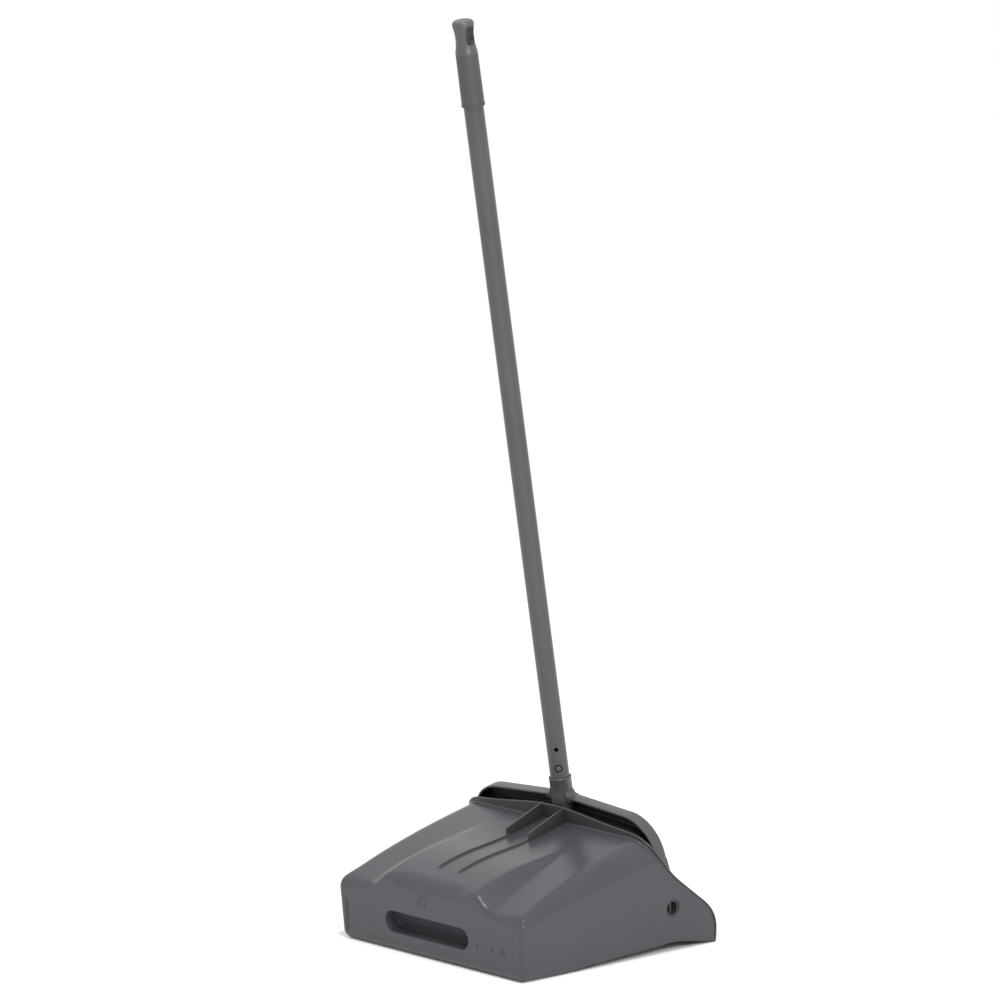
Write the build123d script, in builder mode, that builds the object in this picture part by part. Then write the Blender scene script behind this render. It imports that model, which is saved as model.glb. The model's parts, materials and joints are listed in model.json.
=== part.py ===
# Upright lobby dustpan: a hooded pan that hangs on a yoke, with a tube handle, a grip and a hanging cap.
# Millimetres. +Z is up, the mouth faces -Y, the back wall faces +Y, and the origin is on the floor
# under the middle of the pan.
import math
import os

from build123d import *

# ---------------------------------------------------------------- driving dimensions: the pan
PAN_DEPTH = 295.0  # from the lip to the top of the back wall
BACK_Y = PAN_DEPTH / 2  # back wall at the height BACK_HEIGHT
LIP_Y = -PAN_DEPTH / 2
WALL = 2.5
BACK_HEIGHT = 60.5  # height of the back wall at its two corners
BACK_LEAN = 3.6  # the back wall leans outwards by this much over BACK_HEIGHT, then stands upright
BACK_HALF_LOW = 146.5  # half width of the pan, at the back, at the floor
BACK_HALF_HIGH = 151.3  # and at the hood's shoulder
LIP_HALF_LOW = 151.5
LIP_HALF_HIGH = 153.5
RIM_Y = -43.5  # the hood ends here, over the mouth
RIM_HEIGHT = 130.5

REAR_ROUND = 5.0  # rounding of the two upright edges at the back
REAR_TOP_ROUND = 4.0  # and of the edge along the top of the back wall
BELOW = 4.0  # the hood's sections are drawn down to here, then cut level with the floor
HALF_CUT = 200.0  # half length of the cutters that run right across the pan
CLEAR = 100.0  # cutters that clear the space outside the pan reach this far past it

# Hood shoulder line: (y, height, corner radius), from the back to the lip.
HOOD_STATIONS = [
    (158.0, 66.2, 12.0),
    (130.0, 77.6, 15.0),
    (90.0, 92.8, 18.5),
    (45.0, 107.5, 23.0),
    (0.0, 120.0, 27.0),
    (RIM_Y, RIM_HEIGHT, 30.0),
    (LIP_Y - 10, 158.0, 30.0),
]

# Raised middle of the hood: (y, height), which sinks into the hood towards the mouth.
PLATEAU_STATIONS = [(158.0, 80.0), (124.0, 97.0), (80.0, 107.5), (40.0, 112.5), (-20.0, 118.0)]
PLATEAU_HALF = 73.0  # half width of its top
PLATEAU_SLOPE = 0.84  # rise over run of its two sides
PLATEAU_SIDE = 50.0  # its sides are drawn this far down, into the hood

# Floor: the back strip is flat, then the underside rises to the crown and falls to the lip.
FLAT_STRIP = 22.0
CROWN_Y = -88.0
CROWN_HEIGHT = 10.0
LIP_EDGE = 1.2

# Side view of the mouth: the rim comes down and forward to the ear, whose front is rounded.
MOUTH_LINE = [(RIM_Y, 131.0), (-48.5, 125.0), (-59.5, 110.0), (-70.5, 97.0), (-84.0, 84.0), (-107.0, 66.5)]
EAR_START = (-131.0, 48.5)  # the straight line down from the rim ends here
EAR_CORNER = (-142.0, 36.5)  # a point on the rounded corner
EAR_START_RUN = (-23.0, -17.5)  # direction of the line where it enters the corner
EAR_FRONT_TOP = 20.0  # below this height the ear's front edge is upright

# ---------------------------------------------------------------- driving dimensions: the hinge and the yoke
PIVOT_Y = -80.2
PIVOT_Z = 49.0
PIN_HOLE = 20.0
PIN_GAP = 0.05  # running gap of the hinge pin, all round
PIN_END = 149.9  # the pins end here, just under the ears' outer faces
PIN_HEAD = 26.0
PIN_HEAD_THICK = 2.0
PIN_BORE = 15.0
PIN_BORE_DEPTH = 12.0
PIN_WEB = 2.4
PIN_WEB_SUNK = 3.0
ARM_LEAN = 13.3  # the yoke leans back by this angle
ARM_OUTER = 147.2  # half width over the arms, inside the ears
BAND = 20.0  # the yoke is a channel, this wide between its two walls
BAND_DEPTH = 15.0  # and this deep from front to back
CHANNEL_WALL = 2.5
CROSSBAR_MIDDLE = 104.5  # height of the channel's middle line above the pivot, at the socket
CROSSBAR_DROP = 10.0  # and how much lower it is at the shoulder
SHOULDER_RADIUS = 36.5
EYE_RADIUS = 14.5
ARM_TAPER_LOW = 8.0  # between these heights above the pivot the arm's front edge
ARM_TAPER_HIGH = 58.0  # comes in from the eye to the band's front

# ---------------------------------------------------------------- driving dimensions: the handle
TUBE_DIAMETER = 22.0
TUBE_WALL = 1.0
TUBE_LEAN = 9.7
SOCKET_TOP_Y = -50.5  # the tube's axis meets the socket's rim here
SOCKET_TOP_Z = 179.4
SOCKET_DIAMETER = 25.2
SOCKET_DEPTH = 38.0
SOCKET_FLOOR = 4.0
SOCKET_GAP = 0.05
SPIGOT_DIAMETER = 19.8
SPIGOT_BORE = 14.0
SPIGOT_RISE = 26.0  # the spigot stands this far above the socket's rim
BUTTON_RISE = 12.2  # the button is this far above the rim
BUTTON_DIAMETER = 6.0
BUTTON_GAP = 0.08
BUTTON_TURN = 137.0  # the button faces this way, from +X towards the back
BUTTON_TOP = 13.4  # distance of its domed end from the tube's axis
BUTTON_DOME = 1.5
BUTTON_FOOT = 5.2
BUTTON_FOOT_DIAMETER = 8.0
BUTTON_FOOT_THICK = 1.2
TUBE_BUTTON_HOLE = 9.0
SPARE_HOLE = 5.0
SPARE_HOLE_RISE = 34.5
LEAF_WIDTH = 6.0
LEAF_THICK = 0.8
LEAF_LOW = -16.0
LEAF_SPAN = 5.6
HANDLE_LENGTH = 871.0  # from the socket's rim to the top of the cap
CAP_LENGTH = 38.0
CAP_STUB = 25.0
CAP_STUB_DIAMETER = 19.9
GRIP_LENGTH = 57.5
GRIP_DIAMETER = 24.5
GRIP_FOOT_DIAMETER = 25.2
GRIP_LIP = 2.0
NECK_DIAMETER = 20.6
NECK_RISE = 18.0  # the neck's narrowest place, above the seam
HEAD_RISE = 32.0
HEAD_ROUND = 4.0
CAP_HEAD_DIAMETER = 24.0
HANGING_SLOT_WIDTH = 12.0
HANGING_SLOT_LENGTH = 21.0
HANGING_SLOT_MIDDLE = 21.5  # above the seam


def lean_plane(angle, y, z):
    """A plane that holds +X and a line leaning back by angle: its own z points to the front."""
    up = Vector(0, math.sin(math.radians(angle)), math.cos(math.radians(angle)))
    return Plane(origin=(0, y, z), x_dir=(1, 0, 0), z_dir=Vector(1, 0, 0).cross(up))


def axis_plane(angle, y, z, distance=0.0):
    """A plane square to the leaning line, at a distance along it."""
    up = Vector(0, math.sin(math.radians(angle)), math.cos(math.radians(angle)))
    origin = Vector(0, y, z) + up * distance
    return Plane(origin=origin, x_dir=(1, 0, 0), z_dir=up)


def handle_plane(distance):
    """A plane square to the tube, at a distance above the socket's rim."""
    return axis_plane(TUBE_LEAN, SOCKET_TOP_Y, SOCKET_TOP_Z, distance)


def bar(plane, radius, length):
    """A round bar that starts on a plane and runs along its z."""
    with BuildPart() as piece:
        with BuildSketch(plane):
            Circle(radius)
        extrude(amount=length)
    return piece.part


def along_depth(y):
    """0 at the back wall, 1 at the lip."""
    return (BACK_Y - y) / PAN_DEPTH


def hood_section(y, height, radius, inset):
    """One cross section of the hood and floor, drawn inset by the wall thickness where inset is set."""
    u = along_depth(y)
    low = BACK_HALF_LOW + (LIP_HALF_LOW - BACK_HALF_LOW) * u - inset
    high = BACK_HALF_HIGH + (LIP_HALF_HIGH - BACK_HALF_HIGH) * u - inset
    foot = low - (high - low) * BELOW / (height - inset)
    with BuildSketch(Plane.XZ.offset(-y)) as section:
        with BuildLine():
            Polyline((-foot, -BELOW), (foot, -BELOW), (high, height - inset), (-high, height - inset), close=True)
        make_face()
        top_corners = section.vertices().group_by(Axis.Z)[-1]
        fillet(top_corners, radius - inset)
    return section.sketch


def plateau_section(y, height, inset):
    """One cross section of the raised middle of the hood."""
    top = PLATEAU_HALF - inset * 0.5
    foot = top + PLATEAU_SIDE / PLATEAU_SLOPE
    with BuildSketch(Plane.XZ.offset(-y)) as section:
        with BuildLine():
            Polyline(
                (-foot, height - inset - PLATEAU_SIDE),
                (foot, height - inset - PLATEAU_SIDE),
                (top, height - inset),
                (-top, height - inset),
                close=True,
            )
        make_face()
    return section.sketch


def side_cut(points):
    """A closed outline in the side view, as a solid across the whole width."""
    with BuildPart() as cut:
        with BuildSketch(Plane.YZ):
            with BuildLine():
                Polyline(*points, close=True)
            make_face()
        extrude(amount=HALF_CUT, both=True)
    return cut.part


def hood_volume(inset):
    """The space under the hood's outer skin, or under its inner skin where inset is set."""
    with BuildPart() as volume:
        for y, height, radius in HOOD_STATIONS:
            add(hood_section(y, height, radius, inset))
        loft()
    with BuildPart() as plateau:
        for y, height in PLATEAU_STATIONS:
            add(plateau_section(y, height, inset))
        loft()
    foot_y = BACK_Y - BACK_LEAN - inset
    wall_y = BACK_Y - inset
    behind = side_cut(
        [(foot_y, 0), (foot_y, -20), (wall_y + 40, -20), (wall_y + 40, 150), (wall_y, 150), (wall_y, BACK_HEIGHT)]
    )
    return (volume.part + plateau.part) - behind


# ---------------------------------------------------------------- the pan
# Slot for the fingers in the back wall, off centre, and what stands on the hood.
SLOT_MIDDLE_X = 6.5
SLOT_LENGTH = 135.0
SLOT_HEIGHT = 24.0
SLOT_MIDDLE_Z = 33.7
SLOT_DEPTH = 17.0
FLANGE_TOP = 149.4
FLANGE_THICK = 2.0
FLANGE_FACE_Y = -42.4  # the yoke's socket leans back against this face
# Half of the flange's outline, from the middle to the shoulder: (x, height).
FLANGE_EDGE = [
    (18.0, 148.6),
    (34.0, 147.4),
    (80.0, 141.4),
    (110.0, 138.4),
    (128.0, 135.0),
    (140.0, 129.0),
    (146.5, 122.5),
    (150.5, 113.0),
    (149.8, 104.0),
]
FIN_X = 18.0
FIN_THICK = 2.2
FIN_BACK_Y = 14.6
FIN_BACK_TOP = 127.0
RIB_X = 16.5
RIB_RISE = 2.0
RIB_END_SLOPE = 3.0  # a rib comes down over this length at its back end
RIB_LINE = [(120.0, 98.5), (80.0, 107.5), (40.0, 112.5), (FIN_BACK_Y, 115.5)]

underside = side_cut(
    [
        (BACK_Y + 20, 0),
        (BACK_Y - BACK_LEAN - FLAT_STRIP, 0),
        (CROWN_Y, CROWN_HEIGHT),
        (LIP_Y, 0),
        (LIP_Y - 20, -20),
        (BACK_Y + 20, -20),
    ]
)
below_floor = side_cut(
    [
        (BACK_Y + 20, WALL),
        (BACK_Y - BACK_LEAN - FLAT_STRIP, WALL),
        (CROWN_Y, CROWN_HEIGHT + WALL),
        (LIP_Y - 15, LIP_EDGE - 1.5),
        (LIP_Y - 30, -40),
        (BACK_Y + 20, -40),
    ]
)

# In front of the rim and above the ears everything is open.
with BuildPart() as mouth:
    with BuildSketch(Plane.YZ):
        with BuildLine():
            Polyline((LIP_Y - CLEAR, RIM_HEIGHT + CLEAR), (RIM_Y, RIM_HEIGHT + CLEAR), *MOUTH_LINE, EAR_START)
            ear = Spline(EAR_START, EAR_CORNER, (LIP_Y, EAR_FRONT_TOP), tangents=[EAR_START_RUN, (0, -1)])
            Polyline(ear @ 1, (LIP_Y, -CLEAR), (LIP_Y - CLEAR, -CLEAR), (LIP_Y - CLEAR, RIM_HEIGHT + CLEAR))
        make_face()
    extrude(amount=HALF_CUT, both=True)

with BuildPart() as flange:
    with BuildSketch(Plane.XZ.offset(-FLANGE_FACE_Y - FLANGE_THICK)):
        with BuildLine():
            Polyline(
                (0, FLANGE_TOP),
                *FLANGE_EDGE,
                *[(-x, z) for x, z in reversed(FLANGE_EDGE)],
                close=True,
            )
        make_face()
    extrude(amount=FLANGE_THICK)

with BuildPart() as fins:
    with BuildSketch(Plane.YZ):
        with BuildLine():
            Polyline(
                (FIN_BACK_Y, RIB_LINE[-1][1] - 2),
                (FIN_BACK_Y, FIN_BACK_TOP),
                (FLANGE_FACE_Y + 1, FLANGE_EDGE[0][1]),
                (FLANGE_FACE_Y + 1, RIM_HEIGHT - 2),
                close=True,
            )
        make_face()
    extrude(amount=FIN_THICK / 2, both=True)

with BuildPart() as ribs:
    with BuildSketch(Plane.YZ):
        with BuildLine():
            Polyline(
                (RIB_LINE[0][0] - RIB_END_SLOPE, RIB_LINE[0][1] + RIB_RISE),
                *[(y, z + RIB_RISE) for y, z in RIB_LINE[1:]],
                *[(y, z - 1) for y, z in reversed(RIB_LINE)],
                close=True,
            )
        make_face()
    extrude(amount=FIN_THICK / 2, both=True)

back_low_y = BACK_Y - BACK_LEAN
back_plane = Plane(
    origin=(SLOT_MIDDLE_X, back_low_y + BACK_LEAN * SLOT_MIDDLE_Z / BACK_HEIGHT, SLOT_MIDDLE_Z),
    x_dir=(1, 0, 0),
    z_dir=Vector(0, BACK_HEIGHT, -BACK_LEAN),
)
with BuildPart() as pocket_outer:
    with BuildSketch(back_plane.offset(-1)):
        SlotOverall(SLOT_LENGTH + 2 * WALL, SLOT_HEIGHT + 2 * WALL)
    extrude(amount=-(SLOT_DEPTH + WALL - 1))
with BuildPart() as pocket:
    with BuildSketch(back_plane.offset(5)):
        SlotOverall(SLOT_LENGTH, SLOT_HEIGHT)
    extrude(amount=-(SLOT_DEPTH + 5))


def rear_rounded(volume, upright_radius, top_radius, wall_y):
    """Rounds a hood's edges at the back: the two uprights, then the line along the top."""
    rear = [edge for edge in volume.edges() if edge.bounding_box().min.Y > wall_y - 2 * REAR_ROUND]
    rounded = volume.fillet(upright_radius, [edge for edge in rear if edge.bounding_box().size.Z > BACK_HEIGHT / 2])
    tops = []
    for edge in rounded.edges():
        box = edge.bounding_box()
        if box.min.Y > wall_y - REAR_ROUND - 1 and box.max.Z > BACK_HEIGHT + 1:
            tops.append(edge)
    return rounded.fillet(top_radius, tops)


outer = rear_rounded(hood_volume(0) - underside, REAR_ROUND, REAR_TOP_ROUND, BACK_Y)
inner = rear_rounded(hood_volume(WALL) - below_floor, REAR_ROUND / 2, REAR_TOP_ROUND / 2, BACK_Y - WALL)
with BuildPart() as pan:
    add(outer)
    add(inner, mode=Mode.SUBTRACT)
    add(pocket_outer.part)
    add(pocket.part, mode=Mode.SUBTRACT)
    add(flange.part - inner)
    for side in (-1, 1):
        with Locations((side * FIN_X, 0, 0)):
            add(fins.part)
        with Locations((side * RIB_X, 0, 0)):
            add(ribs.part)
    add(mouth.part, mode=Mode.SUBTRACT)
    with Locations(Plane(origin=(0, PIVOT_Y, PIVOT_Z), x_dir=(0, 1, 0), z_dir=(1, 0, 0))):
        Cylinder(PIN_HOLE / 2, 2 * HALF_CUT, mode=Mode.SUBTRACT)
pan.part.label = "pan"


# ---------------------------------------------------------------- the yoke
# Its own plane leans back through the hinge line. Local x is +X, local y runs up the yoke,
# and the plane's z points to the front.
yoke_back = lean_plane(ARM_LEAN, PIVOT_Y, PIVOT_Z).offset(-BAND_DEPTH / 2)
arm_middle = ARM_OUTER - BAND / 2


def band_corners(out):
    """Corners of one edge of the bent band, this far outside its middle line."""
    x = arm_middle + out
    shoulder = CROSSBAR_MIDDLE - CROSSBAR_DROP + out
    return [(-x, 0), (-x, shoulder), (0, CROSSBAR_MIDDLE + out), (x, shoulder), (x, 0)]


def band_face(width):
    """The bent band of the yoke, this wide on its middle line, drawn flat."""
    with BuildSketch() as band:
        with BuildLine():
            outside = FilletPolyline(*band_corners(width / 2), radius=SHOULDER_RADIUS + width / 2)
            inside = FilletPolyline(*band_corners(-width / 2), radius=SHOULDER_RADIUS - width / 2)
            Line(outside @ 0, inside @ 0)
            Line(outside @ 1, inside @ 1)
        make_face()
    return band.sketch


tube_low = SOCKET_FLOOR - SOCKET_DEPTH
pin_radius = PIN_HOLE / 2 - PIN_GAP
across_tube = handle_plane(BUTTON_RISE)
turn = math.radians(BUTTON_TURN)
button_out = across_tube.x_dir * math.cos(turn) + across_tube.y_dir * math.sin(turn)
button_plane = Plane(origin=across_tube.origin, x_dir=across_tube.z_dir, z_dir=button_out)
spare_plane = Plane(
    origin=handle_plane(SPARE_HOLE_RISE).origin, x_dir=button_plane.x_dir, z_dir=button_plane.z_dir
)

# The arm's side view, in front of the band: wide at the eye, level with the band at the shoulder.
arm_side = Plane(origin=yoke_back.origin, x_dir=yoke_back.z_dir, z_dir=(-1, 0, 0))
with BuildPart() as arm_front:
    with BuildSketch(arm_side.offset(-ARM_OUTER)):
        with BuildLine():
            Polyline(
                (BAND_DEPTH / 2, 0),
                (BAND_DEPTH / 2 + EYE_RADIUS - 1, ARM_TAPER_LOW),
                (BAND_DEPTH, ARM_TAPER_HIGH),
                (BAND_DEPTH - CHANNEL_WALL, ARM_TAPER_HIGH),
                (BAND_DEPTH - CHANNEL_WALL, ARM_TAPER_LOW),
                close=True,
            )
        make_face()
    extrude(amount=BAND)

with BuildPart() as yoke:
    # The bent channel, open to the back, then its two solid eyes.
    with BuildSketch(yoke_back):
        add(band_face(BAND))
    extrude(amount=BAND_DEPTH)
    with BuildSketch(yoke_back):
        add(band_face(BAND - 2 * CHANNEL_WALL))
    extrude(amount=BAND_DEPTH - CHANNEL_WALL, mode=Mode.SUBTRACT)
    add(arm_front.part)
    add(arm_front.part.mirror(Plane.YZ))
    for side in (-1, 1):
        with BuildSketch(Plane.YZ.offset(side * (ARM_OUTER - BAND))):
            with Locations((PIVOT_Y, PIVOT_Z)):
                Circle(EYE_RADIUS)
        extrude(amount=side * BAND)
    # The socket is a collar for the tube with a hollow spigot inside it.
    add(bar(handle_plane(-SOCKET_DEPTH), SOCKET_DIAMETER / 2, SOCKET_DEPTH))
    add(bar(handle_plane(tube_low), TUBE_DIAMETER / 2 + SOCKET_GAP, SOCKET_DEPTH), mode=Mode.SUBTRACT)
    add(bar(handle_plane(tube_low), SPIGOT_DIAMETER / 2, SPIGOT_RISE - tube_low))
    add(bar(handle_plane(tube_low), SPIGOT_BORE / 2, SPIGOT_RISE - tube_low), mode=Mode.SUBTRACT)
    add(bar(button_plane, BUTTON_DIAMETER / 2 + BUTTON_GAP, 20), mode=Mode.SUBTRACT)
    # The eyes are bored for the pins.
    with Locations(Plane(origin=(0, PIVOT_Y, PIVOT_Z), x_dir=(0, 1, 0), z_dir=(1, 0, 0))):
        Cylinder(pin_radius, 2 * ARM_OUTER + 10, mode=Mode.SUBTRACT)
yoke.part.label = "yoke"


def pivot_pin(side):
    """A hollow headed pin, pushed out through the yoke's eye into the ear."""
    inner = ARM_OUTER - BAND
    with BuildPart() as pin:
        with BuildSketch(Plane.YZ.offset(side * (inner - PIN_HEAD_THICK))):
            with Locations((PIVOT_Y, PIVOT_Z)):
                Circle(PIN_HEAD / 2)
        extrude(amount=side * PIN_HEAD_THICK)
        with BuildSketch(Plane.YZ.offset(side * inner)):
            with Locations((PIVOT_Y, PIVOT_Z)):
                Circle(pin_radius)
        extrude(amount=side * (PIN_END - inner))
        with BuildSketch(Plane.YZ.offset(side * PIN_END)):
            with Locations((PIVOT_Y, PIVOT_Z)):
                Circle(PIN_BORE / 2)
        extrude(amount=-side * PIN_BORE_DEPTH, mode=Mode.SUBTRACT)
        with BuildSketch(Plane.YZ.offset(side * (PIN_END - PIN_WEB_SUNK))):
            with Locations((PIVOT_Y, PIVOT_Z)):
                Rectangle(PIN_WEB, PIN_BORE + 1)
        extrude(amount=-side * (PIN_BORE_DEPTH - PIN_WEB_SUNK))
    return pin


pivot_pin_left = pivot_pin(1)
pivot_pin_left.part.label = "pivot_pin_left"
pivot_pin_right = pivot_pin(-1)
pivot_pin_right.part.label = "pivot_pin_right"

# ---------------------------------------------------------------- the tube and its lock
seam = HANDLE_LENGTH - CAP_LENGTH
with BuildPart() as tube:
    with BuildSketch(handle_plane(tube_low)):
        Circle(TUBE_DIAMETER / 2)
        Circle(TUBE_DIAMETER / 2 - TUBE_WALL, mode=Mode.SUBTRACT)
    extrude(amount=seam - tube_low)
    add(bar(button_plane, TUBE_BUTTON_HOLE / 2, 20), mode=Mode.SUBTRACT)
    add(bar(spare_plane, SPARE_HOLE / 2, 20), mode=Mode.SUBTRACT)
tube.part.label = "tube"

with BuildPart() as lock_button:
    with BuildSketch(button_plane.offset(BUTTON_FOOT - BUTTON_FOOT_THICK)):
        Circle(BUTTON_FOOT_DIAMETER / 2)
    extrude(amount=BUTTON_FOOT_THICK)
    with BuildSketch(button_plane.offset(BUTTON_FOOT)):
        Circle(BUTTON_DIAMETER / 2)
    extrude(amount=BUTTON_TOP - BUTTON_FOOT)
    fillet(lock_button.faces().sort_by(Axis(button_plane.origin, button_plane.z_dir))[-1].edges(), BUTTON_DOME)
lock_button.part.label = "lock_button"

# The spring is one bent leaf: a leg behind the button, a round bend below it, and a free leg.
leaf_top = BUTTON_FOOT - BUTTON_FOOT_THICK - LEAF_THICK / 2
leaf_plane = Plane(
    origin=button_plane.origin, x_dir=button_plane.z_dir, z_dir=button_plane.z_dir.cross(button_plane.x_dir)
)
with BuildPart() as button_spring:
    with BuildSketch(leaf_plane):
        with BuildLine():
            leg = Line((leaf_top, BUTTON_DIAMETER / 2), (leaf_top, LEAF_LOW))
            bend = ThreePointArc(
                leg @ 1, (leaf_top - LEAF_SPAN / 2, LEAF_LOW - LEAF_SPAN / 2), (leaf_top - LEAF_SPAN, LEAF_LOW)
            )
            Line(bend @ 1, (leaf_top - LEAF_SPAN, BUTTON_DIAMETER / 2))
        trace(line_width=LEAF_THICK)
    extrude(amount=LEAF_WIDTH / 2, both=True)
button_spring.part.label = "button_spring"

# ---------------------------------------------------------------- the grip and the cap
grip_low = seam - GRIP_LENGTH
with BuildPart() as grip_sleeve:
    with BuildSketch(handle_plane(grip_low)):
        Circle(GRIP_FOOT_DIAMETER / 2)
    with BuildSketch(handle_plane(seam)):
        Circle(GRIP_DIAMETER / 2)
    loft()
    with BuildSketch(handle_plane(grip_low)):
        Circle(GRIP_FOOT_DIAMETER / 2 + 0.4)
    extrude(amount=GRIP_LIP)
    add(bar(handle_plane(grip_low), TUBE_DIAMETER / 2 + SOCKET_GAP, GRIP_LENGTH), mode=Mode.SUBTRACT)
grip_sleeve.part.label = "grip_sleeve"

cap_origin = handle_plane(seam)
cap_side = Plane(origin=cap_origin.origin, x_dir=cap_origin.y_dir, z_dir=cap_origin.x_dir)
with BuildPart() as hanger_cap:
    with BuildSketch(cap_side):
        with BuildLine():
            foot = Polyline(
                (0, -CAP_STUB), (CAP_STUB_DIAMETER / 2, -CAP_STUB), (CAP_STUB_DIAMETER / 2, 0),
                (GRIP_DIAMETER / 2, 0), (GRIP_DIAMETER / 2, 3.0),
            )
            waist = ThreePointArc(foot @ 1, (NECK_DIAMETER / 2, NECK_RISE), (CAP_HEAD_DIAMETER / 2, HEAD_RISE))
            rim = Line(waist @ 1, (CAP_HEAD_DIAMETER / 2, CAP_LENGTH))
            Polyline(rim @ 1, (0, CAP_LENGTH), foot @ 0)
        make_face()
    revolve(axis=Axis(cap_origin.origin, cap_origin.z_dir))
    top_rim = hanger_cap.faces().sort_by(Axis(cap_origin.origin, cap_origin.z_dir))[-1].edges()
    fillet(top_rim, HEAD_ROUND)
    slot_side = Plane(
        origin=handle_plane(seam + HANGING_SLOT_MIDDLE).origin, x_dir=cap_origin.z_dir, z_dir=(1, 0, 0)
    )
    with BuildSketch(slot_side):
        RectangleRounded(HANGING_SLOT_LENGTH, HANGING_SLOT_WIDTH, 4.0)
    extrude(amount=20, both=True, mode=Mode.SUBTRACT)
hanger_cap.part.label = "hanger_cap"

os.makedirs("parts", exist_ok=True)
for piece in (
    pan,
    yoke,
    pivot_pin_left,
    pivot_pin_right,
    tube,
    lock_button,
    button_spring,
    grip_sleeve,
    hanger_cap,
):
    export_step(piece.part, f"parts/{piece.part.label}.step")
    print(piece.part.label, len(piece.part.solids()), round(piece.part.volume), piece.part.bounding_box())
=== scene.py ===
import json
import math

import bmesh
import bpy
import numpy as np
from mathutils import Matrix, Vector


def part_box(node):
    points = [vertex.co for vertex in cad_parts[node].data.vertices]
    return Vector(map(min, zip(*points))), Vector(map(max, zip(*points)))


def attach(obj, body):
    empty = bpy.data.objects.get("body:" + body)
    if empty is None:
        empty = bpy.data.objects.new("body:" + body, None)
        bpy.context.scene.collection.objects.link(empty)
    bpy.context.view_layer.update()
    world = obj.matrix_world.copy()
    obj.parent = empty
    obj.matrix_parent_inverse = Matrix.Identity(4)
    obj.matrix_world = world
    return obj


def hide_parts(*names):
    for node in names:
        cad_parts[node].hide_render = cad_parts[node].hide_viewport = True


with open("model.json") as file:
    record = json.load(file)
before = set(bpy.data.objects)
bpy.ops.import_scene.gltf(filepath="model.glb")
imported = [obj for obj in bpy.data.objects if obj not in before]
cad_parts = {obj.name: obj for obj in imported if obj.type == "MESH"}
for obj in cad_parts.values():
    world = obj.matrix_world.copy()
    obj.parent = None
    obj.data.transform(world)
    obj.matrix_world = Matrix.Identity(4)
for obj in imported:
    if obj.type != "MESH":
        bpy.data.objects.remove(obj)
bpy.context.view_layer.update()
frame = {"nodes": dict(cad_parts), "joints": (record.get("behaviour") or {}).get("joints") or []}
MM = 0.001


def lengths(node):
    """Lowest and highest corner of a CAD node, in millimetres."""
    low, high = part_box(node)
    return np.array(low) / MM, np.array(high) / MM


pan_low, pan_high = lengths("pan")
joints = {j["name"]: j for j in frame["joints"]}
PIVOT = np.array(joints["handle_swing"]["pos_m"]) / MM

# ---------------------------------------------------------------- the pan's shape
BACK_Y = pan_high[1]
LIP_Y = pan_low[1]
DEPTH = BACK_Y - LIP_Y
WALL = 2.5
LEAN_HEIGHT = 60.5
BACK_LEAN = 3.6
RIM_HEIGHT = 130.5
FLAT_END_Y = 121.9
CROWN_Y = -88.0
CROWN_HEIGHT = 10.0
LIP_EDGE = 1.2
REAR_ROUND = 5.0
REAR_TOP_ROUND = 4.5  # rounding along the top of the back wall, at the foot of the raised middle
REAR_MIDDLE_SOFTER = 9.0  # this much more in the middle, and
REAR_MIDDLE = (40, 72)  # fading over this distance from the middle plane
REAR_CORNER_SOFTER = 5.0  # and this much more at the two corners
REAR_CORNER = (95, 140)
FOOT_ROUND = 2.0  # rounding along the floor, which grows towards the back wall
FOOT_SOFTER = 8.0
FOOT_GROWS = (60, 140)
LIFT = 0.15  # the visible skin stands this far inside the CAD box, all round
BACK_HALF_LOW, LIP_HALF_LOW = 146.5, 151.5  # half width at the floor, at the back and at the lip
BACK_HALF_HIGH, LIP_HALF_HIGH = 151.3, 153.5  # and at the shoulder
HOOD_LINE = [(147.5, 70.5), (121.0, 81.3), (91.0, 92.6), (45.0, 107.6), (0.0, 120.0), (-43.5, 130.5)]
PLATEAU_LINE = [(147.5, 86.4), (124.0, 97.0), (80.0, 107.5), (40.0, 112.8), (0.0, 116.5), (-43.0, 119.0)]
ROUND_LINE = [(147.5, 15.0), (130.0, 16.0), (90.0, 19.0), (45.0, 23.0), (0.0, 27.0), (-43.5, 30.0)]
PLATEAU_HALF = 73.0
PLATEAU_SLOPE = 0.84
PLATEAU_EDGE = 5.0  # softness of the raised middle's upper edges, and of the valleys at its foot
PLATEAU_FOOT = 7.0
HOOD_TILT = 0.93  # cosine of the hood's usual slope
CROWN_BLEND = 3.0
MOUTH_LINE = [
    (131.0, -43.5), (125.0, -48.5), (110.0, -59.5), (97.0, -70.5), (84.0, -84.0), (66.5, -107.0),
    (48.5, -131.0), (41.0, -138.6), (34.0, -143.2), (27.0, -146.2), (20.0, -147.5), (0.0, -147.5),
]
hood_fit = np.polyfit(*np.array(HOOD_LINE).T, 3)
plateau_fit = np.polyfit(*np.array(PLATEAU_LINE).T, 3)
round_y, round_r = np.array(ROUND_LINE[::-1]).T
mouth_z, mouth_y = np.array(MOUTH_LINE[::-1]).T
# The mouth line, rounded off between its corners.
smooth_z = np.linspace(0, 131, 264)
kernel = np.hanning(25) / np.hanning(25).sum()
smooth_y = np.convolve(np.pad(np.interp(smooth_z, mouth_z, mouth_y), 12, mode="edge"), kernel, mode="valid")


def mouth_at(z):
    """How far forward the hood and ears reach at a height."""
    return np.interp(z, smooth_z, smooth_y)


def smooth_max(a, b, k):
    """The larger of two values, blended where they are within k of each other."""
    return np.maximum(a, b) + np.maximum(k - np.abs(a - b), 0) ** 2 / (4 * k)


def smooth_min(a, b, k):
    return -smooth_max(-a, -b, k)


def step(a, b, x):
    """A smooth step from 0 at a to 1 at b."""
    t = np.clip((x - a) / (b - a), 0, 1)
    return t * t * (3 - 2 * t)


def hood_at(y):
    return np.polyval(hood_fit, y)


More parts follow.
